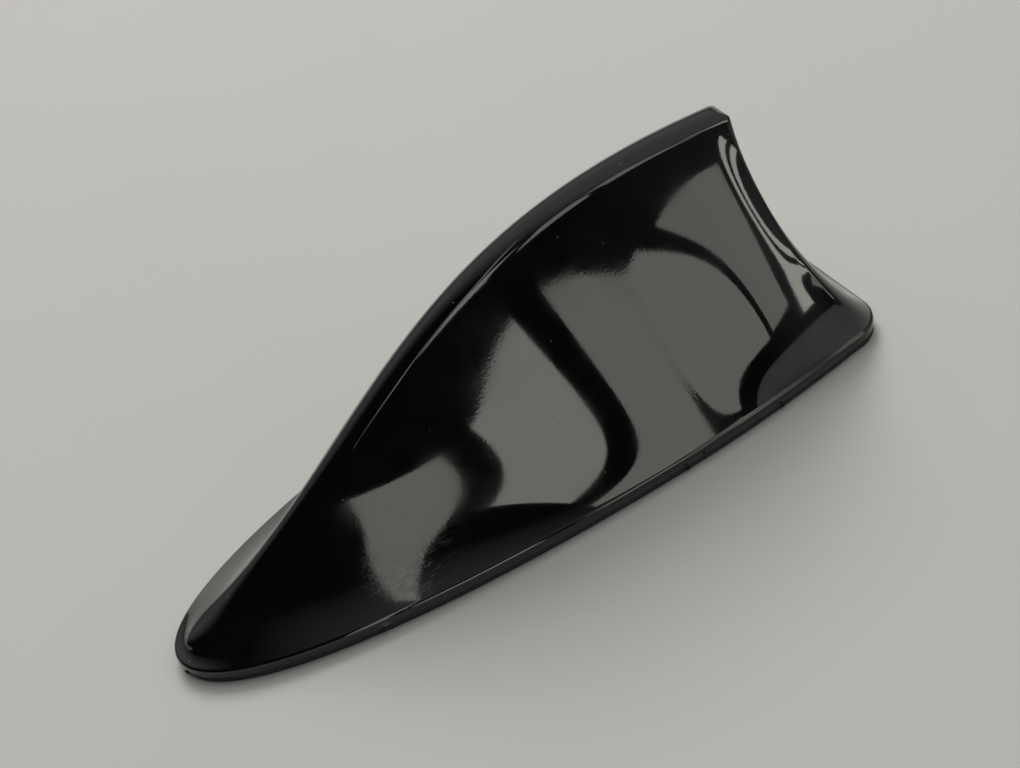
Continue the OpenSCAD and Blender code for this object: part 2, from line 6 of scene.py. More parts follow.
import bpy
import numpy as np
from mathutils import Matrix, Vector
from mathutils.bvhtree import BVHTree


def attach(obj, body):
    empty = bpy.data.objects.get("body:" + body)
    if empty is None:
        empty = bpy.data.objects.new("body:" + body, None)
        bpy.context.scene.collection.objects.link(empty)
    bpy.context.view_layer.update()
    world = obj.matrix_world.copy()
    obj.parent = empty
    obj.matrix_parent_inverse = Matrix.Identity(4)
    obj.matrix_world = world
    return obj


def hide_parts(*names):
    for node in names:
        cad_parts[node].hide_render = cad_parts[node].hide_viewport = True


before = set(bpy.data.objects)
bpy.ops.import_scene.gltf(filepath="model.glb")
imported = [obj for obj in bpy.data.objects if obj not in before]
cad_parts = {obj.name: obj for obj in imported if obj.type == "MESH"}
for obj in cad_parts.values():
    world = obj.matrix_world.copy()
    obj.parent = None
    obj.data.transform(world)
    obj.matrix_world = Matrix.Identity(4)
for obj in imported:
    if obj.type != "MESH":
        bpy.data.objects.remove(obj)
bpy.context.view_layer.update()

scene = bpy.context.scene
MM = 0.001

# Camera: place in millimetres, angles in degrees, lens in millimetres
CAMERA_AT = (-67.08, -226.26, 245.88)
CAMERA_AZIMUTH = -17.813
CAMERA_ELEVATION = 43.689
CAMERA_ROLL = 19.929
CAMERA_LENS = 56.37


def camera_turn(azimuth, elevation, roll):
    """The camera's axes: right, up and back, in the columns of a matrix."""
    a, e, r = (math.radians(v) for v in (azimuth, elevation, roll))
    back = Vector((math.sin(a) * math.cos(e), -math.cos(a) * math.cos(e), math.sin(e)))
    level = Vector((math.cos(a), math.sin(a), 0))
    rise = back.cross(level)
    right = level * math.cos(r) - rise * math.sin(r)
    return Matrix((right, back.cross(right), back)).transposed()


camera = bpy.data.objects.new("camera", bpy.data.cameras.new("camera"))
camera.data.lens = CAMERA_LENS
camera.data.clip_start = 0.01
camera.matrix_world = Matrix.Translation(Vector(CAMERA_AT) * MM) @ camera_turn(
    CAMERA_AZIMUTH, CAMERA_ELEVATION, CAMERA_ROLL).to_4x4()
scene.collection.objects.link(camera)
scene.camera = camera
scene.view_settings.view_transform = "Standard"


# Nodes, colours and meshes
def wire(node, wires):
    """Sets inputs by name or index: to a value, to a socket, or to the output that a node has in use."""
    for key, value in (wires.items() if isinstance(wires, dict) else enumerate(wires)):
        socket = node.inputs[key] if isinstance(key, int) else next(
            s for s in node.inputs if s.name == key and s.enabled)
        if isinstance(value, bpy.types.Node):
            value = next(s for s in value.outputs if s.enabled)
        if isinstance(value, bpy.types.NodeSocket):
            node.id_data.links.new(value, socket)
        else:
            socket.default_value = value


def put(tree, kind, wires=(), **settings):
    """Adds a node with its settings and its inputs."""
    node = tree.nodes.new(kind)
    for name, value in settings.items():
        setattr(node, name, value)
    wire(node, wires)
    return node


def paint(code):
    """An sRGB hex colour as linear red, green, blue and alpha."""
    parts = [int(code[i:i + 2], 16) / 255 for i in (1, 3, 5)]
    return [c / 12.92 if c <= 0.04045 else ((c + 0.055) / 1.055) ** 2.4 for c in parts] + [1.0]


def piece_from(name, points, faces, material=None):
    """A new object at the origin whose mesh has these points, in millimetres."""
    mesh = bpy.data.meshes.new(name)
    mesh.from_pydata([tuple(c * MM for c in p) for p in points], [], faces)
    mesh.update()
    if material:
        mesh.materials.append(material)
    obj = bpy.data.objects.new(name, mesh)
    scene.collection.objects.link(obj)
    return obj


def settle(obj):
    """Turns an object with live modifiers into a plain mesh."""
    bpy.context.view_layer.update()
    made = obj.evaluated_get(bpy.context.evaluated_depsgraph_get())
    obj.data = bpy.data.meshes.new_from_object(made)
    obj.modifiers.clear()
    return obj


def grow(obj, tree, **values):
    """Runs a node tree on an object, with its inputs set by name, and keeps the plain mesh."""
    modifier = obj.modifiers.new(tree.name, "NODES")
    modifier.node_group = tree
    for item in tree.interface.items_tree:
        key = item.name.replace(" ", "_").lower()
        if item.item_type == "SOCKET" and item.in_out == "INPUT" and key in values:
            modifier[item.identifier] = values[key]
    return settle(obj)


def open_tree(name, **sockets):
    """A new geometry tree with named inputs: the tree, what adds a node to it, and its inputs."""
    tree = bpy.data.node_groups.new(name, "GeometryNodeTree")
    interface = tree.interface
    interface.new_socket("Geometry", in_out="INPUT", socket_type="NodeSocketGeometry")
    for key, kind in sockets.items():
        label = key.replace("_", " ").capitalize()
        interface.new_socket(label, in_out="INPUT", socket_type="NodeSocket" + kind)
    interface.new_socket("Geometry", in_out="OUTPUT", socket_type="NodeSocketGeometry")
    return tree, partial(put, tree), put(tree, "NodeGroupInput").outputs


# Finishes
def open_finish(name):
    """A new material: itself, what adds a node to it, its shader and its object coordinates."""
    material = bpy.data.materials.new(name)
    material.use_nodes = True
    material.node_tree.nodes.clear()
    add = partial(put, material.node_tree)
    shader = add("ShaderNodeBsdfPrincipled")
    add("ShaderNodeOutputMaterial", {"Surface": shader})
    return material, add, shader, add("ShaderNodeTexCoord").outputs["Object"]


def per_mm(size):
    """A texture's scale for features of this many millimetres."""
    return 1 / (size * MM)


def near(add, place, middle, inner, outer):
    """1 close to a place and 0 beyond, with a soft edge. Lengths are millimetres."""
    gap = add("ShaderNodeVectorMath", [place, [c * MM for c in middle]], operation="DISTANCE")
    return add("ShaderNodeMapRange", {
        "Value": gap.outputs["Value"], "From Min": inner * MM, "From Max": outer * MM, "To Min": 1.0,
        "To Max": 0.0})


# How softly a scratch fades at its sides
SCRATCH_EDGE = 0.025


def scratches(add, place, angle, spacing, length, share):
    """Fine straight scratches at an angle in plan: 1 on a scratch. Spacing and length are millimetres."""
    drawn_out = add("ShaderNodeMapping", {
        "Vector": place, "Rotation": (0, 0, math.radians(angle)),
        "Scale": (per_mm(length), per_mm(spacing), per_mm(spacing))})
    field = add("ShaderNodeTexNoise", {"Vector": drawn_out, "Scale": 1.0, "Detail": 1.0})
    return add("ShaderNodeMapRange", {"Value": field, "From Min": share, "From Max": share + SCRATCH_EDGE})


# Dust: share of cells without a speck, and a speck's radius as a share of a cell's width
DUST_BARE, DUST_FILLS = 0.86, 0.05
# How much scratches lighten and roughen the black, how deep the scuff is and how dull the chalk
MARK_TONE, MARK_ROUGH, SCUFF_DEPTH, CHALK_ROUGH = 0.2, 0.05, -0.5, 0.5


def black_lacquer():
    """Sprayed gloss black on moulded plastic: a deep mirror black, broken by fine orange peel, a slow haze,
    faint hairlines from wiping, a scuffed stretch of the near side, specks of dust and one chalky mark."""
    material, add, shader, place = open_finish("gloss_black_lacquer")
    wire(shader, {"IOR": 1.5, "Coat Weight": 0.25, "Coat Roughness": 0.02})
    # Orange peel: makes the edges of mirrored things wobble slightly
    peel = add("ShaderNodeTexNoise", {"Vector": place, "Scale": per_mm(0.55), "Detail": 2.0})
    # Dust: sparse pale specks a few tenths of a millimetre across
    specks = add("ShaderNodeTexVoronoi", {"Vector": place, "Scale": per_mm(2.6), "Randomness": 1.0})
    chosen = add("ShaderNodeSeparateColor", [specks.outputs["Color"]])
    kept = add("ShaderNodeMath", [chosen, DUST_BARE], operation="GREATER_THAN")
    small = add("ShaderNodeMath", [specks.outputs["Distance"], DUST_FILLS], operation="LESS_THAN")
    dust = add("ShaderNodeMath", [kept, small], operation="MULTIPLY")
    # Hairlines: two directions of wiping, only in patches
    wiped = add("ShaderNodeMath", [
        scratches(add, place, 24, 0.12, 14, 0.76), scratches(add, place, -31, 0.14, 18, 0.765)],
        operation="MAXIMUM")
    # Scuff: scratches along the near side, above the rim
    scuffed = near(add, place, (-32, -20, 7), 6, 15)
    scuff = add("ShaderNodeMath", [scratches(add, place, 13, 0.32, 30, 0.6), scuffed], operation="MULTIPLY")
    # Chalky mark: a dull pale spot low on the near rim
    blot = add("ShaderNodeTexNoise", {"Vector": place, "Scale": per_mm(0.5), "Detail": 4.0})
    spot = near(add, place, (-42.5, -21.6, 1.6), 0.5, 1.6)
    chalk = add("ShaderNodeMath", [spot, blot], operation="MULTIPLY")
    marks = add("ShaderNodeMath", [wiped, scuff], operation="MAXIMUM")
    faint = add("ShaderNodeMath", [marks, MARK_TONE], operation="MULTIPLY")
    scored = add("ShaderNodeMix", {
        "Factor": faint, "A": paint("#060708"), "B": paint("#3b3d40")}, data_type="RGBA")
    pale = add("ShaderNodeMath", [dust, chalk], operation="MAXIMUM")
    dusty = add("ShaderNodeMix", {"Factor": pale, "A": scored, "B": paint("#8d8a84")}, data_type="RGBA")
    # Haze: the gloss drifts slowly over the cover, and is duller on scratches and chalk
    haze = add("ShaderNodeTexNoise", {"Vector": place, "Scale": per_mm(9), "Detail": 3.0})
    rough = add("ShaderNodeMapRange", {
        "Value": haze, "From Min": 0.35, "From Max": 0.7, "To Min": 0.03, "To Max": 0.07})
    worn = add("ShaderNodeMath", [marks, MARK_ROUGH, rough], operation="MULTIPLY_ADD")
    dull = add("ShaderNodeMath", [chalk, CHALK_ROUGH, worn], operation="MULTIPLY_ADD")
    height = add("ShaderNodeMath", [scuff, SCUFF_DEPTH, peel], operation="MULTIPLY_ADD")
    bump = add("ShaderNodeBump", {"Height": height, "Strength": 1.0, "Distance": 0.0014 * MM})
    wire(shader, {"Base Color": dusty, "Roughness": dull, "Normal": bump, "Coat Normal": bump})
    return material


def moulded(name, colour, shade, rough, grain, depth, cloud, metal=0.0, spread=0.06):
    """One colour that drifts to a shade, with a fine grain. Grain, depth and cloud are millimetres."""
    material, add, shader, place = open_finish(name)
    drift = add("ShaderNodeTexNoise", {"Vector": place, "Scale": per_mm(cloud), "Detail": 4.0})
    mixed = add("ShaderNodeMix", {"Factor": drift, "A": paint(colour), "B": paint(shade)}, data_type="RGBA")
    fine = add("ShaderNodeTexNoise", {"Vector": place, "Scale": per_mm(grain), "Detail": 5.0})
    uneven = add("ShaderNodeMapRange", {
        "Value": fine, "From Min": 0.3, "From Max": 0.7, "To Min": rough - spread, "To Max": rough + spread})
    bump = add("ShaderNodeBump", {"Height": fine, "Strength": 1.0, "Distance": depth * MM})
    wire(shader, {"Metallic": metal, "Base Color": mixed, "Roughness": uneven, "Normal": bump})
    return material


def solder_mask():
    """Green lacquer over a glass laminate: smooth and slightly glossy, with paler copper traces under it."""
    material, add, shader, place = open_finish("green_solder_mask")
    flat = add("ShaderNodeMapping", {"Vector": place, "Scale": (per_mm(2.2), per_mm(2.2), 1.0)})
    second, first = (add("ShaderNodeTexVoronoi", {"Vector": flat, "Scale": 1.0}, distance="CHEBYCHEV",
                         feature=feature, voronoi_dimensions="2D") for feature in ("F2", "F1"))
    gap = add("ShaderNodeMath", [second.outputs["Distance"], first.outputs["Distance"]], operation="SUBTRACT")
    trace = add("ShaderNodeMapRange", {
        "Value": gap, "From Min": 0.1, "From Max": 0.14, "To Min": 1.0, "To Max": 0.0})
    mixed = add("ShaderNodeMix", {
        "Factor": trace, "A": paint("#0f4630"), "B": paint("#23704f")}, data_type="RGBA")
    bump = add("ShaderNodeBump", {"Height": trace, "Strength": 1.0, "Distance": 0.02 * MM})
    wire(shader, {"Base Color": mixed, "Normal": bump, "Roughness": 0.32})
    return material


def foam_cells():
    """Closed-cell foam: dull and dark, with the small pits of cut bubbles, whose insides are darkened as
    painted shade.
    """
    material, add, shader, place = open_finish("closed_cell_foam")
    bubbles = add("ShaderNodeTexVoronoi", {"Vector": place, "Scale": per_mm(0.45)})
    pits_and_painted_shade = add("ShaderNodeMapRange", {
        "Value": bubbles.outputs["Distance"], "From Min": 0.15, "From Max": 0.5})
    # Painted shade: the darker colour fills the middle of each bubble's pit, where the bump is lowest, as
    # shade in a hollow
    mixed = add("ShaderNodeMix", {
        "Factor": pits_and_painted_shade, "A": paint("#0f0f10"), "B": paint("#232324")}, data_type="RGBA")
    bump = add("ShaderNodeBump", {"Height": pits_and_painted_shade, "Strength": 1.0, "Distance": 0.12 * MM})
    wire(shader, {"Base Color": mixed, "Normal": bump, "Roughness": 0.92})
    return material


LACQUER = black_lacquer()
FOAM = foam_cells()
LAMINATE = solder_mask()
# Seal rubber: dull brown-black, with the fine spark-eroded grain of its mould
RUBBER = moulded("moulded_seal_rubber", "#0d0c0b", "#1b1917", 0.74, 0.35, 0.03, cloud=2.5)
# Base plate: grey cast skin with slow stains and a sandy texture
ALLOY = moulded("die_cast_aluminium", "#8b8d90", "#abadaf", 0.46, 0.28, 0.016, cloud=9, metal=1.0, spread=0.1)
# Screws and insert: bright zinc whose grey drifts slightly from place to place
STEEL = moulded("zinc_plated_steel", "#979b9f", "#b9bab8", 0.28, 0.5, 0.003, cloud=2.2, metal=1.0)
# Springs: warm bronze strip, in places a little darker
BRONZE = moulded("spring_bronze", "#a3834a", "#bd9d66", 0.3, 0.3, 0.003, cloud=3, metal=1.0)
# Vent: white film with a felt-like matt surface
MEMBRANE = moulded("vent_membrane", "#d6d6d1", "#e9e9e5", 0.82, 0.15, 0.02, cloud=1)
# Chips: dark moulded resin, evenly grained
RESIN = moulded("chip_resin", "#151618", "#232427", 0.55, 0.1, 0.006, cloud=1.5)
# Shielding can: bright tinned sheet with soft smears
TINPLATE = moulded("tinned_sheet", "#a9acae", "#c4c5c4", 0.27, 0.6, 0.004, cloud=5, metal=1.0, spread=0.1)
# Patches: warm fired ceramic, chalky and fine-grained
CERAMIC = moulded("silvered_ceramic", "#b3a894", "#cdc5b4", 0.52, 0.2, 0.01, cloud=4)
# Pads under the patches: cream tape, soft and matt
TAPE = moulded("bonding_tape", "#dad5c5", "#e9e4d7", 0.72, 0.35, 0.015, cloud=2)
# Contacts and radiator: pale brass that darkens in patches
BRASS = moulded("tinned_brass", "#ad9350", "#cfb775", 0.3, 0.3, 0.003, cloud=2, metal=1.0)
# Carrier: undyed plastic, off-white with a soft sheen
NATURAL = moulded("natural_plastic", "#d3d0c6", "#e5e3dc", 0.45, 0.3, 0.005, cloud=6)
# Connector: mid-grey plastic, faintly cloudy
GREY = moulded("grey_plastic", "#474b52", "#60656d", 0.48, 0.3, 0.007, cloud=3)
# Insulators: clean white plastic, slightly glossier than the carrier
WHITE = moulded("insulator_plastic", "#e4e3dd", "#f0efeb", 0.38, 0.3, 0.003, cloud=3)
# Crumbs stuck to the seal: dull black bits like old rubber
CRUMB = moulded("black_rubber_crumb", "#100f0e", "#25221f", 0.9, 0.15, 0.03, cloud=0.6)

FINISHES = {
    "cover": LACQUER, "roof_seal": RUBBER, "base_plate": ALLOY, "roof_insert": STEEL, "hole_seal": FOAM,
    "ground_springs": BRONZE, "vent_disc": MEMBRANE, "cover_screws": STEEL, "main_board": LAMINATE,
    "board_screws": STEEL, "board_chips": RESIN, "shield_can": TINPLATE, "front_patch": CERAMIC,
    "rear_patch": CERAMIC, "patch_pads": TAPE, "feed_pins": BRASS, "radiator_carrier": NATURAL,
    "radiator_sheet": BRASS, "crest_pad": FOAM, "connector_block": GREY, "connector_shells": BRASS,
    "pin_insulators": WHITE, "connector_pins": BRASS}
for name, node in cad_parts.items():
    node.data.materials.clear()
    node.data.materials.append(FINISHES[name])

# The fin's plan, crest line and sides are the CAD cover's. Its tail edge turns in more, the crest strip's
# rounding varies along the fin and the strip's nose end is blunter.
# Plan of the rim: ends, widest place, half widths and rear corner, then the reach of its curves' handles
NOSE_X, TAIL_X, WIDE_X = -80.0, 80.0, 40.0
HALF_WIDE, HALF_TAIL, CORNER_R = 30.2, 28.5, 7.5
SIDE_END_X = TAIL_X - CORNER_R
NOSE_ROUND, NOSE_HANDLE = 21.7, 37.0
TAIL_HANDLE, TAIL_HANDLE_IN, TAIL_HANDLE_OUT = 11.5, 10.2, 0.95
# Crest: its ends, and the handles of its curve, along and up, at the nose and at the tip
TIP_X, TIP_H, CREST_X, CREST_LIFT = 67.0, 52.0, -77.6, 0.9
NOSE_LEAD, TIP_LEAD = (58.0, 22.0), (-76.0, 13.0)
# Rim band, lip and wall, and the foot of the inner skin
RIM_TOP, RIM_EDGE, LIP_H, WALL = 4.0, 0.5, 1.8, 2.2
INNER_FOOT, INNER_LEDGE, LIP_ROUND, RIM_STRAIGHT = 2.9, 2.5, 0.12, 2.6
# The rim's rounded top edge: its height and the angle that it turns through, in radians
RIM_ROUND, RIM_TURN = 0.7, 1.13
# Crest strip: half widths at its ends, length of its pointed nose end and radius of its tip's corners
STRIP_NOSE, STRIP_TIP, TONGUE, STRIP_END_R = 2.6, 3.3, 7.0, 1.0
# On the inner skin: the strip's least half width and corner radius, and its sinking as a share of the depth
STRIP_LEAST, STRIP_END_LEAST, STRIP_SINKS = 0.9, 0.3, 0.9
# At nose, middle, rear and tail edge: straight and hollow shares of the side, and the power of the rest
DRAFT = (0.39, 0.76, 0.82, 0.53)
BOW = (-0.18, 0.24, 0.6, 0.99)
FLARE = (0.85, 9.0, 4.0, 5.6)
# Reach of the nose's and the rear's blends, and of the tail edge's at the crest and at the foot
NOSE_BLEND, REAR_BLEND, EDGE_TOP, EDGE_FOOT = 111.0, 36.0, 13.9, 10.3
# Sweep of the side along the fin: its power and straight share, and depth of the hollow in the tail face
SWEEP, LEAN, HOLLOW = 2.79, -0.24, 3.0
# Rise of the rounded crest strip at places along the fin; the strip sinks where it is rounder
CROWN_AT = (-77.6, -70.0, -65.0, -58.0, -51.0, -43.0, -30.0, 67.0)
CROWN = (0.45, 0.5, 0.95, 1.6, 1.9, 1.7, 1.35, 1.2)
# Points closer than these, in millimetres, become one: in a skin round the rim, and at a seam elsewhere
LOFT_MERGE, SEAM_MERGE = 0.002, 0.001
# Smoothing passes on the crest's edge and on the nose, and the nose's reach at full and at no smoothing
EDGE_PASSES, NOSE_PASSES, NOSE_FULL, NOSE_END = 4, 60, 3.0, 12.0
# Steps round half of the rim: nose, side, corner and half of the tail
STEPS = (96, 40, 14, 18)
SIDE_COUNT, CORNER_COUNT = STEPS[0] + STEPS[1], STEPS[2]


def mix(a, b, t):
    return a + (b - a) * t


def ease(t):
    t = np.clip(t, 0, 1)
    return t * t * (3 - 2 * t)


def bend(a, b, c, d, t):
    """A cubic curve through a and d with the handles b and c."""
    t = np.asarray(t)[:, None]
    a, b, c, d = (np.array(p, float) for p in (a, b, c, d))
    return (1 - t) ** 3 * a + 3 * (1 - t) ** 2 * t * b + 3 * (1 - t) * t * t * c + t ** 3 * d


def rim_half(nose, side, corner, tail):
    """Half of the rim in plan, from the nose to the middle of the tail, with these numbers of steps."""
    widest = (WIDE_X, HALF_WIDE)
    turn = np.radians(np.linspace(0, 90, corner + 1)[1:])
    return np.vstack([
        bend((NOSE_X, 0), (NOSE_X, NOSE_ROUND), (WIDE_X - NOSE_HANDLE, HALF_WIDE), widest,
             np.linspace(0, 1, nose + 1)),
        bend(widest, (WIDE_X + TAIL_HANDLE, HALF_WIDE),
             (SIDE_END_X - TAIL_HANDLE_IN, HALF_TAIL + TAIL_HANDLE_OUT), (SIDE_END_X, HALF_TAIL),
             np.linspace(0, 1, side + 1)[1:]),
        np.c_[SIDE_END_X + CORNER_R * np.sin(turn), HALF_TAIL - CORNER_R + CORNER_R * np.cos(turn)],
        np.c_[np.full(tail, TAIL_X), np.linspace(HALF_TAIL - CORNER_R, 0, tail + 1)[1:]]])


RIM = rim_half(*STEPS)
CREST_FOOT = (CREST_X, RIM_TOP + CREST_LIFT)
CREST = bend(CREST_FOOT, np.add(CREST_FOOT, NOSE_LEAD), np.add((TIP_X, TIP_H), TIP_LEAD), (TIP_X, TIP_H),
             np.linspace(0, 1, 6001))


def crest_height(x, depth):
    """Height of the crest's curve at places along the fin, for the skin at this depth."""
    return np.interp(np.minimum(x, TIP_X), CREST[:, 0], CREST[:, 1]) - depth * STRIP_SINKS


def outward(line):
    """Unit normals of a plan curve that runs from the nose along the positive side."""
    length = np.r_[0, np.cumsum(np.hypot(*np.diff(line, axis=0).T))]
    run = np.gradient(line, length, axis=0)
    run[0], run[-1] = (0, 1), (0, -1)
    run /= np.linalg.norm(run, axis=1)[:, None]
    return np.c_[-run[:, 1], run[:, 0]]


def crest_half(depth):
    """Where each rim station ends on the crest strip, the strip's middle there and its crown's rise, for the
    skin at this depth."""
    nose_half, tip_half = max(STRIP_LEAST, STRIP_NOSE - depth), max(STRIP_LEAST, STRIP_TIP - depth)
    end_r = max(STRIP_END_LEAST, STRIP_END_R - depth / 3)
    a, b = CREST_X + depth, TIP_X - depth
    x = mix(a, b - end_r, (RIM[:SIDE_COUNT + 1, 0] - NOSE_X) / (SIDE_END_X - NOSE_X))
    t = np.clip((x - a) / TONGUE, 0, 1)
    side = np.c_[x, mix(nose_half, tip_half, (x - a) / (b - a)) * np.sqrt(1 - (1 - t) ** 2)]
    turn = np.radians(np.linspace(0, 90, CORNER_COUNT + 1)[1:])
    arc = np.c_[b - end_r + end_r * np.sin(turn), tip_half - end_r + end_r * np.cos(turn)]
    tail = np.c_[np.full(STEPS[3], b), np.linspace(tip_half - end_r, 0, STEPS[3] + 1)[1:]]
    flat = np.vstack([side, arc, tail])
    middle = np.clip(flat[:, 0], a + nose_half, b - tip_half)
    spots = (flat[:, 0], middle)
    heights = [crest_height(v, depth) for v in spots]
    rise = np.full(len(middle), CROWN[-1] / 2)
    if not depth:
        heights = [h + CROWN[-1] - np.interp(v, CROWN_AT, CROWN) for h, v in zip(heights, spots)]
        rise = np.interp(middle, CROWN_AT, CROWN)
    return np.c_[flat, heights[0]], np.c_[middle, 0 * middle, heights[1]], rise


def both_sides(half):
    """A half loop's rows, followed by their mirror images."""
    other = half[-2:0:-1].copy()
    if other.ndim == 2:
        other[:, 1] *= -1
    return np.concatenate([half, other])


def row(inner, inset, foot, rise=0, turn=0, wavy=0, soft=0):
    """A loop of a skin: on the inner skin or the outer, its inset and height at the rim, its rise along the
    skin, its turn over the crown, and its shares of waviness and of smoothing."""
    return inner, inset, foot, rise, turn, wavy, soft


# Values of a row, vectors and numbers of the rim's stations, and those of them all that aren't lengths
COLUMNS = ("inner", "inset", "foot", "rise", "turn", "wavy", "soft")
VECTORS = ("rim", "out", "crest_outer", "crest_inner", "middle_outer", "middle_inner")
NUMBERS = ("crown_outer", "crown_inner", "draft", "bow", "flare", "hollow")
NOT_LENGTHS = {"out", "draft", "bow", "flare", "inner", "rise", "turn", "wavy", "soft"}


def loft(name, rows, material, wave=0.0):
    """A skin round the rim from its rows, whose rails and profile ride on the points of a scratch mesh."""
    level = np.zeros(len(RIM))
    outer, inner = crest_half(0), crest_half(WALL)
    x = RIM[:, 0]
    nose, rear = ease((x - NOSE_X) / NOSE_BLEND), ease((x - SIDE_END_X) / REAR_BLEND + 1)
    draft, bow, flare = (mix(mix(v[0], v[1], nose), v[2], rear) for v in (DRAFT, BOW, FLARE))
    part = np.clip((np.arange(len(RIM)) - SIDE_COUNT - CORNER_COUNT) / STEPS[3], 0, 1)
    halves = {
        "rim": np.c_[RIM, level], "out": np.c_[outward(RIM), level],
        "crest_outer": outer[0], "middle_outer": outer[1], "crown_outer": outer[2],
        "crest_inner": inner[0], "middle_inner": inner[1], "crown_inner": inner[2],
        "draft": draft, "bow": bow, "flare": flare, "hollow": HOLLOW * np.sin(part * math.pi / 2) ** 2}
    stations = {key: both_sides(half) for key, half in halves.items()}
    count = len(stations["rim"])
    total = count + len(rows)
    rails = piece_from(name, np.zeros((total, 3)), [])
    for key, values in {**stations, **dict(zip(COLUMNS, np.array(rows, float).T))}.items():
        vector = values.ndim == 2
        full = np.zeros((total,) + values.shape[1:], np.float32)
        span = slice(0, count) if key in stations else slice(count, total)
        full[span] = values * (1 if key in NOT_LENGTHS else MM)
        store = rails.data.attributes.new(key, "FLOAT_VECTOR" if vector else "FLOAT", "POINT")
        store.data.foreach_set("vector" if vector else "value", full.ravel())
    return grow(rails, RIM_LOFT, stations=count, rows=len(rows), wave=wave * MM, rounding=EDGE_PASSES,
                material=material)


def smoothed(add, mesh, weight, passes):
    """A mesh whose points move towards their neighbours by the weight stored on them."""
    share = add("GeometryNodeInputNamedAttribute", {"Name": weight}, data_type="FLOAT")
    moved = add("GeometryNodeBlurAttribute", {
        "Value": add("GeometryNodeInputPosition"), "Iterations": passes, "Weight": share},
        data_type="FLOAT_VECTOR")
    return add("GeometryNodeSetPosition", {"Geometry": mesh, "Position": moved})


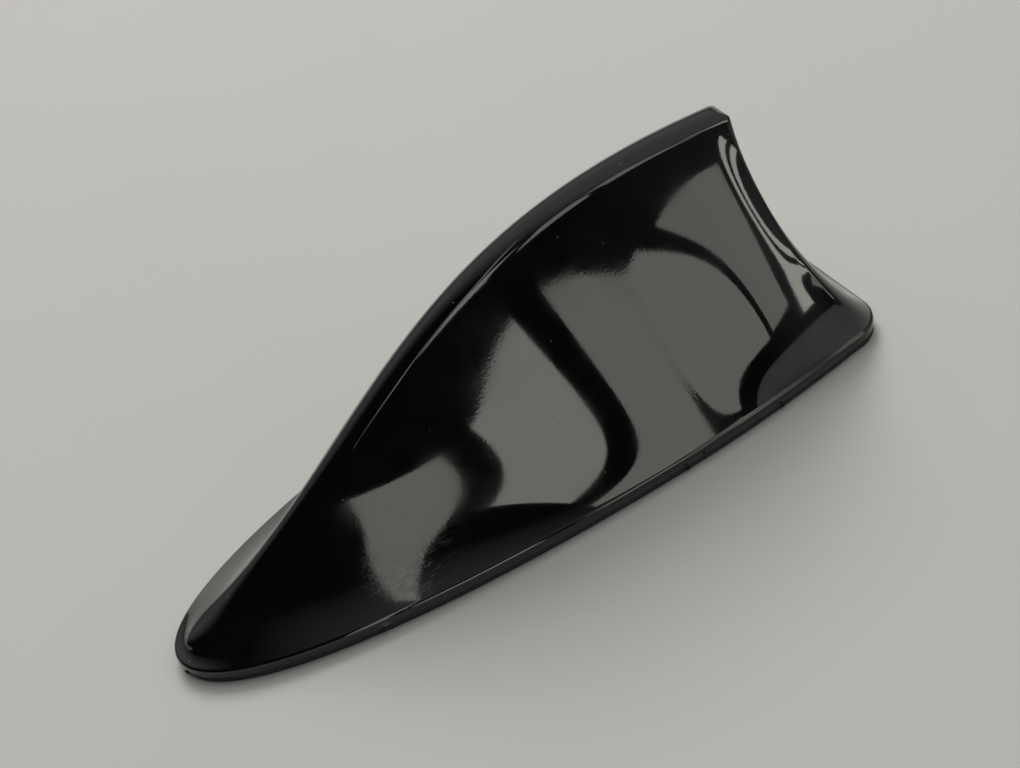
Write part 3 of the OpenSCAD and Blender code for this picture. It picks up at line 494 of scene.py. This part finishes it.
def rim_loft():
    """Tree: a grid of stations by rows, each point worked out from its station's rails and its row."""
    tree, add, given = open_tree("rim_loft", stations="Int", rows="Int", wave="Float", rounding="Int",
                                 material="Material")
    grid = add("GeometryNodeMeshGrid", {
        "Vertices X": add("ShaderNodeMath", [given["Stations"], 1.0], operation="ADD"),
        "Vertices Y": given["Rows"]})
    index = add("GeometryNodeInputIndex")
    exact = add("ShaderNodeMath", [index, given["Rows"]], operation="DIVIDE")
    column = add("ShaderNodeMath", [exact], operation="FLOOR")
    station = add("ShaderNodeMath", [column, given["Stations"]], operation="MODULO")
    within = add("ShaderNodeMath", [index, given["Rows"]], operation="MODULO")
    row_at = add("ShaderNodeMath", [within, given["Stations"]], operation="ADD")
    at = {}
    for key in (*VECTORS, *NUMBERS, *COLUMNS):
        kind = "FLOAT_VECTOR" if key in VECTORS else "FLOAT"
        stored = add("GeometryNodeInputNamedAttribute", {"Name": key}, data_type=kind)
        at[key] = add("GeometryNodeSampleIndex", {
            "Geometry": given["Geometry"], "Index": row_at if key in COLUMNS else station, "Value": stored},
            data_type=kind)

    # Rim and crest ends of the row, on the outer or the inner skin
    crest, middle, crown = (add("ShaderNodeMix", {
        "Factor": at["inner"], "A": at[name + "_outer"], "B": at[name + "_inner"]}, data_type=kind)
        for name, kind in (("crest", "VECTOR"), ("middle", "VECTOR"), ("crown", "FLOAT")))
    ripple = add("ShaderNodeTexNoise", {"Vector": at["rim"], "Scale": per_mm(2.5), "Detail": 3.0})
    centred = add("ShaderNodeMath", [ripple.outputs[0], 0.5], operation="SUBTRACT")
    waviness = add("ShaderNodeMath", [at["wavy"], given["Wave"]], operation="MULTIPLY")
    swing = add("ShaderNodeMath", [centred, waviness], operation="MULTIPLY")
    away = add("ShaderNodeMath", [swing, at["inset"]], operation="SUBTRACT")
    foot = add("ShaderNodeCombineXYZ", {"Z": at["foot"]})
    aside = add("ShaderNodeVectorMath", {0: at["out"], "Scale": away}, operation="SCALE")
    lifted = add("ShaderNodeVectorMath", [at["rim"], foot], operation="ADD")
    edge = add("ShaderNodeVectorMath", [aside, lifted], operation="ADD")

    # Section law: the shares of the way from the crest to the rim, blended into the tail edge
    left = add("ShaderNodeMath", [1.0, at["rise"]], operation="SUBTRACT")
    reach = add("ShaderNodeMapRange", {
        "Value": left, "To Min": (TAIL_X - EDGE_TOP) * MM, "To Max": (TAIL_X - EDGE_FOOT) * MM})
    turn_in = add("ShaderNodeMapRange", {
        "Value": add("ShaderNodeSeparateXYZ", [at["rim"]]), "From Min": reach, "From Max": TAIL_X * MM},
        interpolation_type="SMOOTHSTEP")
    draft, bow, flare = (add("ShaderNodeMix", {
        "Factor": turn_in, "A": at[name], "B": last}, data_type="FLOAT")
        for name, last in (("draft", DRAFT[3]), ("bow", BOW[3]), ("flare", FLARE[3])))
    curl = add("ShaderNodeMath", [left, flare], operation="POWER")
    square = add("ShaderNodeMath", [left, left], operation="MULTIPLY")
    hollower = add("ShaderNodeMath", [square, curl], operation="SUBTRACT")
    bowed = add("ShaderNodeMath", [hollower, bow], operation="MULTIPLY")
    drawn_in = add("ShaderNodeMix", {"Factor": draft, "A": curl, "B": left}, data_type="FLOAT")
    swept = add("ShaderNodeMath", [left, SWEEP], operation="POWER")
    leaned = add("ShaderNodeMix", {
        "Factor": LEAN, "A": swept, "B": left}, data_type="FLOAT", clamp_factor=False)
    shares = add("ShaderNodeCombineXYZ", {
        "X": leaned, "Y": add("ShaderNodeMath", [drawn_in, bowed], operation="ADD"), "Z": left})
    span = add("ShaderNodeVectorMath", [edge, crest], operation="SUBTRACT")
    skin = add("ShaderNodeVectorMath", [span, shares, crest], operation="MULTIPLY_ADD")

    # Hollow of the tail face: deepest halfway up, where four times a half by a half makes one
    halfway = add("ShaderNodeMath", [at["rise"], left], operation="MULTIPLY")
    depth = add("ShaderNodeMath", [at["hollow"], -4.0], operation="MULTIPLY")
    dip = add("ShaderNodeMath", [halfway, depth], operation="MULTIPLY")
    dished = add("ShaderNodeVectorMath", [skin, add("ShaderNodeCombineXYZ", {"X": dip})], operation="ADD")

    # Rounded crown: drawn to the crest's middle line by the cosine, raised by the square of the sine
    beside = add("ShaderNodeVectorMath", [dished, middle], operation="SUBTRACT")
    drawn = add("ShaderNodeVectorMath", {
        0: beside, "Scale": add("ShaderNodeMath", [at["turn"]], operation="COSINE")}, operation="SCALE")
    sine = add("ShaderNodeMath", [at["turn"]], operation="SINE")
    squared = add("ShaderNodeMath", [sine, 2.0], operation="POWER")
    lift = add("ShaderNodeMath", [squared, crown], operation="MULTIPLY")
    top = add("ShaderNodeVectorMath", [middle, add("ShaderNodeCombineXYZ", {"Z": lift})], operation="ADD")
    place = add("ShaderNodeVectorMath", [drawn, top], operation="ADD")

    # Shares of smoothing: by row at the crest's edge, and by distance round the nose end of the crest
    nose_end = (CREST_X * MM, 0, (RIM_TOP + CREST_LIFT) * MM)
    to_nose = add("ShaderNodeVectorMath", [place, nose_end], operation="DISTANCE")
    close = add("ShaderNodeMapRange", {
        "Value": to_nose.outputs["Value"], "From Min": NOSE_FULL * MM, "From Max": NOSE_END * MM,
        "To Min": 1.0, "To Max": 0.0})
    risen = add("ShaderNodeMapRange", {"Value": at["rise"], "From Min": 0.02, "From Max": 0.6})
    blunt = add("ShaderNodeMath", [close, risen], operation="MULTIPLY")
    mesh = add("GeometryNodeSetPosition", {"Geometry": grid.outputs["Mesh"], "Position": place})
    for name, share in (("soft", at["soft"]), ("blunt", blunt)):
        mesh = add("GeometryNodeStoreNamedAttribute", {"Geometry": mesh, "Name": name, "Value": share},
                   data_type="FLOAT")
    mesh = add("GeometryNodeMergeByDistance", {"Geometry": mesh, "Distance": LOFT_MERGE * MM})
    mesh = smoothed(add, mesh, "soft", given["Rounding"])
    mesh = smoothed(add, mesh, "blunt", NOSE_PASSES)
    mesh = add("GeometryNodeSetShadeSmooth", {"Geometry": mesh})
    mesh = add("GeometryNodeFlipFaces", {"Mesh": mesh})
    real = add("GeometryNodeRealizeInstances", {"Geometry": mesh})
    done = add("GeometryNodeSetMaterial", {"Geometry": real, "Material": given["Material"]})
    add("NodeGroupOutput", [done])
    return tree


RIM_LOFT = rim_loft()


def cover_rows():
    """The painted cover: down the inner skin, across the rim's foot and up the outer skin to the crown."""
    rows = [row(1, RIM_EDGE + WALL, INNER_FOOT, 1, math.radians(a)) for a in (90, 60, 30)]
    rows += [row(1, RIM_EDGE + WALL, INNER_FOOT, s) for s in np.linspace(1, 0, 17) ** 1.3]
    rows += [row(1, WALL, z) for z in (INNER_LEDGE, LIP_H)]
    rows += [row(0, LIP_ROUND, LIP_H), row(0, 0, LIP_H + LIP_ROUND), row(0, 0, RIM_STRAIGHT)]
    for a in np.linspace(0, RIM_TURN, 6)[:-1]:
        inset = RIM_EDGE * (1 - math.cos(a)) / (1 - math.cos(RIM_TURN))
        rows.append(row(0, inset, RIM_TOP - RIM_ROUND * (1 - math.sin(a) / math.sin(RIM_TURN))))
    rows += [row(0, RIM_EDGE, RIM_TOP, s) for s in np.linspace(0, 0.99, 60) ** 1.3]
    rows += [row(0, RIM_EDGE, RIM_TOP, s, soft=1) for s in (0.992, 0.996, 1)]
    return rows + [row(0, RIM_EDGE, RIM_TOP, 1, math.radians(a), soft=int(a < 35))
                   for a in (20, 29, *range(36, 91, 6))]


# Rubber seal: a lip under the painted rim, with three sealing ribs on the roof side, as insets and heights
SEAL_LOOP = [
    (0.32, 0.05), (0.2, 0.3), (0.2, 1.2), (0.26, 1.55), (0.5, 1.75), (2.15, 1.78), (2.2, 1.02), (3.95, 1.0),
    (4.0, 0.9), (4.0, 0.12), (3.85, 0.0), (3.3, 0.0), (3.1, 0.35), (2.5, 0.4), (2.3, 0.05), (1.9, 0.0),
    (1.7, 0.3), (1.1, 0.35), (0.9, 0.05), (0.5, 0.0)]
# Rows with less inset than this show at the rim, and wave within a band of this width
SEAL_SHOWN, SEAL_WAVE = 0.6, 0.25

cover = loft("fin_cover", cover_rows(), LACQUER)
seal_rows = [row(0, inset, z, wavy=int(inset < SEAL_SHOWN)) for inset, z in SEAL_LOOP + SEAL_LOOP[:1]]
seal = loft("rim_seal", seal_rows, RUBBER, wave=SEAL_WAVE)

SKIN = BVHTree.FromObject(cover, bpy.context.evaluated_depsgraph_get())


def roof_over(x, y, low):
    """Height of the cover's inner skin over a place, or the given height where there is none."""
    hit = SKIN.ray_cast(Vector((x, y, low)) * MM, Vector((0, 0, 1)))[0]
    return hit.z / MM if hit else low


# Screws, from their places on one side, and the bosses that they go into
SCREWS = [(x, side * y) for x, y in ((-50, 6.5), (30, 21), (67.5, 16)) for side in (1, -1)]
BOARD_SCREWS = [(x, side * y) for x, y in ((-26, 6), (59, 14.45)) for side in (1, -1)]
BOSS_R, BOSS_FOOT, PILOT_R, PILOT_TOP, BOSS_EDGE, SUNK = 2.7, 3.8, 1.3, 8.2, 0.3, 1.0
# Cross ribs in the nose: places, thickness, lower and highest upper edge, reach, depth in the wall
RIB_PLACES, RIB_T, RIB_LOW, RIB_HIGH, RIB_REACH, RIB_SUNK = (-70, -64, -58), 1.4, 4.5, 7.5, 15.1, 0.7
# A rib looks for the wall a little inside its own place, so that its end finds it too
RIB_LOOKS_IN = 0.98


def screw_boss(x, y, steps=28):
    """A boss that ends inside the cover's wall, with a blind pilot hole from below."""
    circle = [(math.cos(a), math.sin(a)) for a in np.linspace(0, 2 * math.pi, steps, endpoint=False)]
    points = []
    for c, t in circle:
        spot = (x + BOSS_R * c, y + BOSS_R * t)
        points.append((*spot, roof_over(*spot, BOSS_FOOT) + SUNK))
    for r, z in ((BOSS_R, BOSS_FOOT + BOSS_EDGE), (BOSS_R - BOSS_EDGE, BOSS_FOOT),
                 (PILOT_R + BOSS_EDGE, BOSS_FOOT), (PILOT_R, BOSS_FOOT + BOSS_EDGE), (PILOT_R, PILOT_TOP)):
        points += [(x + r * c, y + r * t, z) for c, t in circle]
    pairs = [(i, (i + 1) % steps) for i in range(steps)]
    top, last = len(points), len(points) - steps
    faces = [(k + steps + i, k + steps + j, k + j, k + i) for k in range(0, last, steps) for i, j in pairs]
    faces += [(i, j, top) for i, j in pairs]
    faces += [(last + j, last + i, top + 1) for i, j in pairs]
    return points + [(x, y, roof_over(x, y, BOSS_FOOT) + SUNK), (x, y, PILOT_TOP)], faces


def nose_rib(x, steps=48):
    """A cross rib between the cover's sides, whose top is sunk in the wall where the wall is low."""
    side = SKIN.ray_cast(Vector((x, 0, RIB_LOW)) * MM, Vector((0, 1, 0)))[0]
    reach = min(RIB_REACH, side.y / MM)
    points, faces = [], []
    for y in np.linspace(-reach, reach, steps + 1):
        top = min(RIB_HIGH, roof_over(x, y * RIB_LOOKS_IN, RIB_LOW) + RIB_SUNK)
        points += [(x - RIB_T / 2, y, RIB_LOW), (x + RIB_T / 2, y, RIB_LOW), (x + RIB_T / 2, y, top),
                   (x - RIB_T / 2, y, top)]
    for i in range(0, 4 * steps, 4):
        faces += [(i + k, i + 4 + k, i + 4 + (k + 1) % 4, i + (k + 1) % 4) for k in range(4)]
    end = 4 * steps
    return points, faces + [(0, 1, 2, 3), (end + 3, end + 2, end + 1, end)]


def gather(name, shapes, material):
    """One piece from several lists of points and faces."""
    points, faces = [], []
    for some, sides in shapes:
        faces += [tuple(i + len(points) for i in side) for side in sides]
        points += some
    return piece_from(name, points, faces, material)


bosses = gather("cover_bosses", [screw_boss(x, y) for x, y in SCREWS], LACQUER)
ribs = gather("cover_ribs", [nose_rib(x) for x in RIB_PLACES], LACQUER)


# Star recess of the screws: its points, and how far they reach out and in as a share of its radius
STAR_POINTS, STAR_REACH = 6, 0.1


def turned(profile, lobed=(), steps=36, shut=False):
    """A shape turned round the z axis from (radius, height) pairs. The lobed pairs follow the star."""
    points, faces, n = [], [], len(profile)
    for i in range(steps):
        a = 2 * math.pi * i / steps
        star = 1 + STAR_REACH * math.cos(STAR_POINTS * a)
        for k, (r, z) in enumerate(profile):
            radius = r * star if k in lobed else r
            points.append((radius * math.cos(a), radius * math.sin(a), z))
        j = (i + 1) % steps
        faces += [(i * n + k, j * n + k, j * n + (k + 1) % n, i * n + (k + 1) % n)
                  for k in range(n if shut else n - 1)]
    return points, faces


def threaded_set():
    """Tree: a turned body with a spiral thread on it, set out at every point of the mesh it runs on."""
    tree, add, given = open_tree("threaded_set", body="Object", turns="Float", radius="Float", low="Float",
                                 length="Float", ridge="Float", material="Material")
    spiral = add("GeometryNodeCurveSpiral", {
        "Resolution": 20, "Rotations": given["Turns"], "Start Radius": given["Radius"],
        "End Radius": given["Radius"], "Height": given["Length"]})
    section = add("GeometryNodeCurvePrimitiveCircle", {"Resolution": 4, "Radius": given["Ridge"]})
    thread = add("GeometryNodeCurveToMesh", {
        "Curve": spiral, "Profile Curve": section.outputs["Curve"], "Fill Caps": True})
    raised = add("GeometryNodeTransform", {
        "Geometry": thread, "Translation": add("ShaderNodeCombineXYZ", {"Z": given["Low"]})})
    body = add("GeometryNodeObjectInfo", {"Object": given["Body"]}).outputs["Geometry"]
    closed = add("GeometryNodeMergeByDistance", {"Geometry": body, "Distance": SEAM_MERGE * MM})
    # A join takes every further part as one more wire to its first input
    both = add("GeometryNodeJoinGeometry", [closed])
    wire(both, [raised])
    spots = add("GeometryNodeMeshToPoints", {"Mesh": given["Geometry"]})
    copies = add("GeometryNodeInstanceOnPoints", {"Points": spots, "Instance": both})
    real = add("GeometryNodeRealizeInstances", {"Geometry": copies})
    done = add("GeometryNodeSetMaterial", {"Geometry": real, "Material": given["Material"]})
    add("NodeGroupOutput", [done])
    return tree


THREADED_SET = threaded_set()


def set_out(name, shape, places, turns, **lengths):
    """Threaded steel pieces of one shape at several places, with the thread's turns and its measures: its
    radius, lower end, length and ridge, in millimetres."""
    body = piece_from(name + "_shape", *shape)
    spots = piece_from(name, [(x, y, 0) for x, y in places], [])
    made = grow(spots, THREADED_SET, body=body, turns=turns, material=STEEL,
                **{key: value * MM for key, value in lengths.items()})
    bpy.data.objects.remove(body)
    return made


# Cover screws, whose six-lobed recess faces the roof: recess, head, shank and point
COVER_SCREW = [(0, 1.75), (0.98, 1.75), (1.08, 1.1), (2.1, 1.1), (2.4, 1.25), (2.5, 1.55), (2.5, 2.5),
               (1.05, 2.5), (1.05, 7.2), (0.55, 7.75), (0, 7.75)]
# Board screws, whose recess faces up: point, shank, head and recess
BOARD_SCREW = [(0, 3.25), (0.4, 3.3), (0.82, 3.8), (0.82, 8.2), (2.0, 8.2), (2.0, 8.9), (1.75, 9.3),
               (1.2, 9.5), (0.85, 9.5), (0.75, 8.8), (0, 8.8)]
# Bolt insert in the base plate, turned, with a lead-in and an inside thread
INSERT = [(3.35, 1.0), (4.3, 1.0), (4.5, 1.2), (4.5, 6.0), (4.3, 6.2), (3.2, 6.2), (2.9, 5.9), (2.9, 1.45)]
cover_screws = set_out("cover_screws_zinc", turned(COVER_SCREW, lobed=(1, 2)), SCREWS,
                       turns=6.0, radius=1.05, low=2.9, length=4.3, ridge=0.2)
board_screws = set_out("board_screws_zinc", turned(BOARD_SCREW, lobed=(8, 9)), BOARD_SCREWS,
                       turns=7.0, radius=0.82, low=3.9, length=4.1, ridge=0.18)
insert = set_out("roof_insert_turned", turned(INSERT, steps=48, shut=True), [(0, 0)],
                 turns=5.5, radius=2.82, low=1.55, length=4.3, ridge=0.3)


# Crumbs at each place: how many, how far apart, radius of the largest in millimetres, the seed of their
# random draws, and the height of their lumps as a share of the radius
CRUMB_COUNT, CRUMB_SPREAD, CRUMB_SIZE, CRUMB_SEED, LUMP_HEIGHT = 5, 0.28, 0.3, 11, 1.1


def crumb_tree():
    """Tree: a few lumpy grains round every point, of mixed sizes."""
    tree, add, given = open_tree("seal_crumbs", count="Int", spread="Float", size="Float", seed="Int",
                                 material="Material")
    ball = add("GeometryNodeMeshIcoSphere", {"Radius": given["Size"], "Subdivisions": 2})
    lumps = add("ShaderNodeTexNoise", {"Scale": per_mm(0.3), "Detail": 2.0})
    centred = add("ShaderNodeVectorMath", [lumps.outputs["Color"], (0.5, 0.5, 0.5)], operation="SUBTRACT")
    height = add("ShaderNodeMath", [given["Size"], LUMP_HEIGHT], operation="MULTIPLY")
    push = add("ShaderNodeVectorMath", {0: centred, "Scale": height}, operation="SCALE")
    grain = add("GeometryNodeSetPosition", {"Geometry": ball.outputs["Mesh"], "Offset": push})
    places = add("GeometryNodeMeshToPoints", {"Mesh": given["Geometry"]})
    many = add("GeometryNodeDuplicateElements", {
        "Geometry": places, "Amount": given["Count"]}, domain="POINT")
    scatter = add("FunctionNodeRandomValue", {
        "Min": (-1, -1, -0.6), "Max": (1, 1, 0.6), "Seed": given["Seed"]}, data_type="FLOAT_VECTOR")
    shift = add("ShaderNodeVectorMath", {0: scatter, "Scale": given["Spread"]}, operation="SCALE")
    moved = add("GeometryNodeSetPosition", {"Geometry": many, "Offset": shift})
    turn = add("FunctionNodeRandomValue", {"Max": (6, 6, 6), "Seed": given["Seed"]}, data_type="FLOAT_VECTOR")
    scale = add("FunctionNodeRandomValue", {
        "Min": 0.35, "Max": 1.0, "Seed": given["Seed"]}, data_type="FLOAT")
    copies = add("GeometryNodeInstanceOnPoints", {
        "Points": moved, "Instance": grain, "Rotation": turn, "Scale": scale})
    real = add("GeometryNodeRealizeInstances", {"Geometry": copies})
    smooth = add("GeometryNodeSetShadeSmooth", {"Geometry": real})
    done = add("GeometryNodeSetMaterial", {"Geometry": smooth, "Material": given["Material"]})
    add("NodeGroupOutput", [done])
    return tree


# Places of the crumbs as the photograph shows them, each moved onto the nearest point of the rim
CRUMBS_SEEN = (
    (-76.9, 8.4, 1.0), (-78.8, 2.5, 0.9), (-78.9, -1.5, 0.9), (50.3, -31.1, 0.9), (25.6, -30.7, 0.9),
    (29.5, -30.2, 2.1), (-42.6, -21.6, 1.1))
edge_line = both_sides(RIM)
crumb_places = []
for x, y, z in CRUMBS_SEEN:
    spot = edge_line[np.argmin(np.hypot(edge_line[:, 0] - x, edge_line[:, 1] - y))]
    crumb_places.append((*spot.tolist(), z))
crumbs = grow(piece_from("seal_crumbs", crumb_places, []), crumb_tree(), count=CRUMB_COUNT,
              spread=CRUMB_SPREAD * MM, size=CRUMB_SIZE * MM, seed=CRUMB_SEED, material=CRUMB)

# What each piece stands for in the CAD frame, and the slot of its finish
PIECES = (
    (cover, "cover", "gloss_paint"), (bosses, "cover", "gloss_paint"), (ribs, "cover", "gloss_paint"),
    (seal, "roof_seal", "seal_rubber"), (cover_screws, "cover_screws", "screw_steel"),
    (board_screws, "board_screws", "screw_steel"), (insert, "roof_insert", "insert_steel"),
    (crumbs, None, "seal_rubber"))
for piece, node, slot in PIECES:
    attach(piece, "root")
    if node:
        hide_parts(node)

# Small broken edges on the pieces that keep their CAD shape: from which angle between faces, and how wide
BREAK_ANGLE = math.radians(35)
BROKEN_EDGES = {
    "base_plate": 0.25, "hole_seal": 0.35, "ground_springs": 0.08, "vent_disc": 0.08, "main_board": 0.1,
    "board_chips": 0.12, "shield_can": 0.2, "front_patch": 0.2, "rear_patch": 0.2, "patch_pads": 0.1,
    "feed_pins": 0.08, "radiator_carrier": 0.2, "radiator_sheet": 0.08, "crest_pad": 0.3,
    "connector_block": 0.25, "connector_shells": 0.1, "pin_insulators": 0.08, "connector_pins": 0.08}
for name, width in BROKEN_EDGES.items():
    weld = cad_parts[name].modifiers.new("weld", "WELD")
    weld.merge_threshold = SEAM_MERGE * MM
    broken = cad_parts[name].modifiers.new("broken_edge", "BEVEL")
    broken.width = width * MM
    broken.segments = 2
    broken.limit_method = "ANGLE"
    broken.angle_limit = BREAK_ANGLE


# Floor, room and lights
def painted_table():
    """Pale grey paint on a table top: matt, with a very slow drift of its shade."""
    material, add, shader, place = open_finish("pale_painted_table")
    cloud = add("ShaderNodeTexNoise", {"Vector": place, "Scale": per_mm(140), "Detail": 3.0})
    pale = add("ShaderNodeMix", {
        "Factor": cloud, "A": paint("#d2d0cb"), "B": paint("#d8d6d1")}, data_type="RGBA")
    wire(shader, {"Base Color": pale, "Roughness": 0.6})
    return material


# Half the floor's width
FLOOR_HALF = 4000
corners = [(x * FLOOR_HALF, y * FLOOR_HALF, 0) for x, y in ((-1, -1), (1, -1), (1, 1), (-1, 1))]
floor = piece_from("floor", corners, [(0, 1, 2, 3)], painted_table())


# How much the dark side of the room turns from -x towards -y
WINDOW_LEAN = 0.8


def studio_world():
    """A room that is dark on the window's side and pale above and behind, and plain pale to the camera."""
    world = bpy.data.worlds.new("studio")
    world.use_nodes = True
    world.node_tree.nodes.clear()
    add = partial(put, world.node_tree)
    parts = add("ShaderNodeSeparateXYZ", [add("ShaderNodeTexCoord").outputs["Generated"]])
    lean = add("ShaderNodeMath", [
        parts.outputs["Y"], WINDOW_LEAN, parts.outputs["X"]], operation="MULTIPLY_ADD")
    behind = add("ShaderNodeMapRange", {"Value": lean, "From Min": -0.6, "From Max": 0.1})
    above = add("ShaderNodeMapRange", {
        "Value": parts.outputs["Z"], "From Min": 0.1, "From Max": 0.6, "To Min": 0.25, "To Max": 1.0})
    share = add("ShaderNodeMath", [behind, above], operation="MULTIPLY")
    room = add("ShaderNodeMix", {
        "Factor": share, "A": paint("#24262a"), "B": paint("#c4c6c6")}, data_type="RGBA")
    seen = add("ShaderNodeMix", {
        "Factor": add("ShaderNodeLightPath").outputs["Is Camera Ray"], "A": room, "B": paint("#cfcdc8")},
        data_type="RGBA")
    add("ShaderNodeOutputWorld", {"Surface": add("ShaderNodeBackground", {"Color": seen, "Strength": 1.0})})
    return world


scene.world = studio_world()


def lamp(name, at, toward, size, glow, colour, mirrored):
    """A soft area lamp at a place, in metres, that faces a point, either mirrored in gloss or lighting the
    rest. Glow is its brightness, where 1 is white."""
    data = bpy.data.lights.new(name, "AREA")
    data.shape, data.size, data.size_y = "RECTANGLE", size[0], size[1]
    data.energy = glow * math.pi * size[0] * size[1]
    data.color = paint(colour)[:3]
    obj = bpy.data.objects.new(name, data)
    obj.location = at
    obj.rotation_euler = (Vector(toward) - Vector(at)).to_track_quat("-Z", "Y").to_euler()
    obj.visible_camera = False
    obj.visible_glossy, obj.visible_diffuse = mirrored, not mirrored
    scene.collection.objects.link(obj)


# The mirrored wall's angle and distance, and on it four window panes and two gaps of a blind in metres:
# from and to along the wall, lower and upper edge, and brightness
WALL_TURN, WALL_OFF = math.radians(45.3), 1.3
PANES = (
    (-3.23, -2.464, 0.229, 12.0, 2.1), (-2.14, -1.316, 0.229, 1.478, 2.8),
    (-1.079, -0.691, 0.229, 1.478, 2.0), (-0.621, -0.32, 0.25, 1.478, 1.75),
    (-0.248, -0.19, 0.12, 0.7, 4.4), (-0.144, -0.087, 0.12, 0.7, 4.4))
PANE_COLOUR = "#f8fbee"
along = Vector((math.cos(WALL_TURN), math.sin(WALL_TURN), 0))
inward = Vector((-math.sin(WALL_TURN), math.cos(WALL_TURN), 0))
for i, (a, b, low, high, glow) in enumerate(PANES):
    middle = along * (a + b) / 2 - inward * WALL_OFF + Vector((0, 0, (low + high) / 2))
    lamp(f"window_pane_{i}", middle, middle + inward, (b - a, high - low), glow, PANE_COLOUR, mirrored=True)
lamp("key_light", (0.45, 1.15, 1.25), (0, 0, 0), (0.8, 0.8), 7.2, "#fffdfa", mirrored=False)
lamp("top_light", (0.1, 0.3, 1.6), (0, 0, 0), (1.2, 1.2), 0.6, "#ffffff", mirrored=False)
